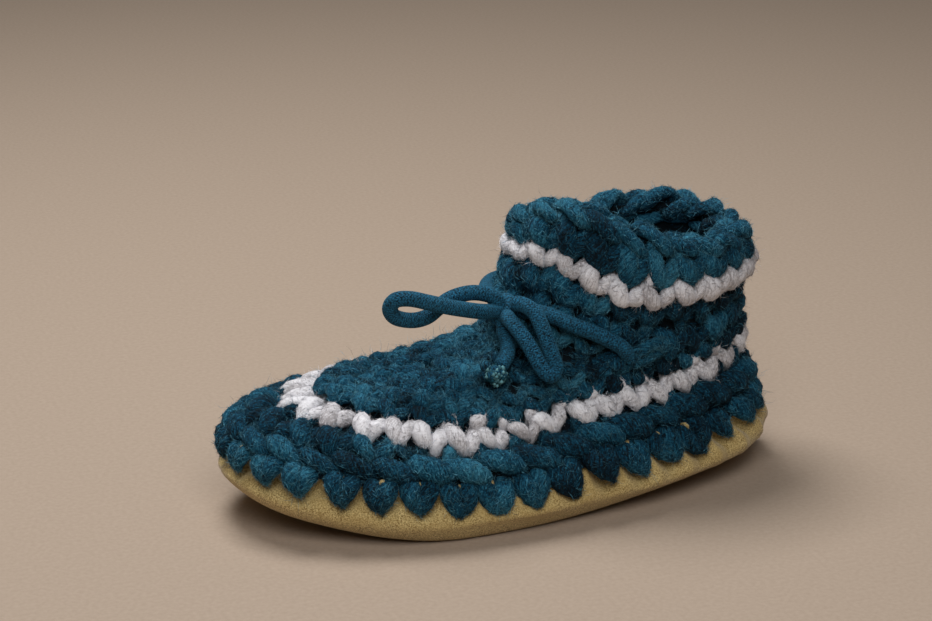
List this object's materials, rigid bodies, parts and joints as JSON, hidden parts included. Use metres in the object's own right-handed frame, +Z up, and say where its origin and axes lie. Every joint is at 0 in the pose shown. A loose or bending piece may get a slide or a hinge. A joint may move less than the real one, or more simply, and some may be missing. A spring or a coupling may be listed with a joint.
{
  "type": "crocheted bootie slipper",
  "caption": "Toddler's crocheted wool bootie slipper on a turned-up suede sole, with white stripes and a knitted drawstring tied in a bow.",
  "frame": {"origin": "middle of the slipper's footprint, on the floor", "axes": "+X to the toe, +Y to the side that the bow hangs on, +Z up from the floor"},
  "size_m": [0.1742, 0.0856, 0.089],
  "materials": {
    "wool": "thick fuzzy wool yarn, crocheted, teal with white rounds",
    "suede": "napped tan suede",
    "fleece": "short cream fleece",
    "cord": "fine knitted cord, dark teal"
  },
  "bodies": {
    "root": {"upper": "wool", "sole": "suede", "insole": "fleece", "drawstring_run_near": "cord", "drawstring_run_far": "cord", "bow_knot": "cord", "bow_loop_toe": "cord", "bow_loop_side": "cord", "bow_end_knotted": "cord", "bow_end_knot": "cord"}
  },
  "joints": []
}
